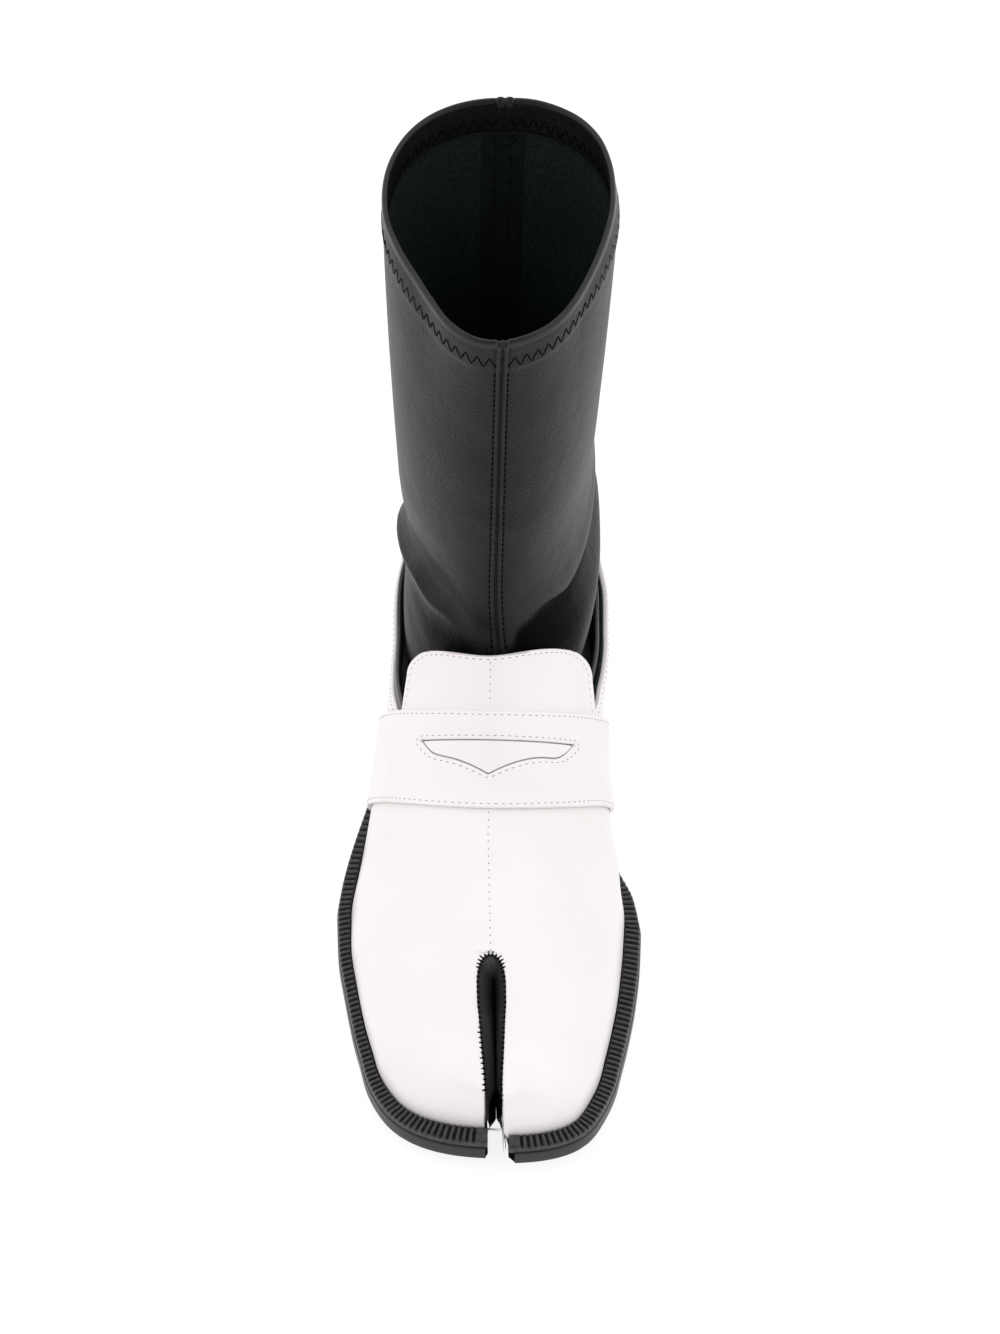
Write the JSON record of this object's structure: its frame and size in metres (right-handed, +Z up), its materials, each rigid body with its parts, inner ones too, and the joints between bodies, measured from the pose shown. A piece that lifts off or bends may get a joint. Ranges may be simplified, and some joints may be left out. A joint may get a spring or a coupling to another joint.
{
  "type": "tabi boot",
  "caption": "Right split-toe ankle boot: a white leather loafer with a strap and a low heel, joined to a black stretch-leather shaft with an open collar.",
  "frame": {"origin": "on the floor under the middle of the boot's box", "axes": "+Z up, toe towards -Y, heel towards +Y, big-toe side towards +X"},
  "size_m": [0.1022, 0.2818, 0.241],
  "materials": {
    "white_leather": "smooth, semi-gloss",
    "black_leather": "fine grain, soft sheen",
    "black_lining": "brushed, matte",
    "black_rubber": "satin",
    "insole_leather": "matte"
  },
  "bodies": {
    "root": {"outsole": "black_rubber", "welt": "black_rubber", "heel": "black_rubber", "top_lift": "black_rubber", "upper": "white_leather", "toe_gusset": "black_leather", "quarter_lining": "black_lining", "strap": "white_leather", "tongue": "white_leather", "insole": "insole_leather", "shaft": "black_leather"}
  },
  "joints": []
}
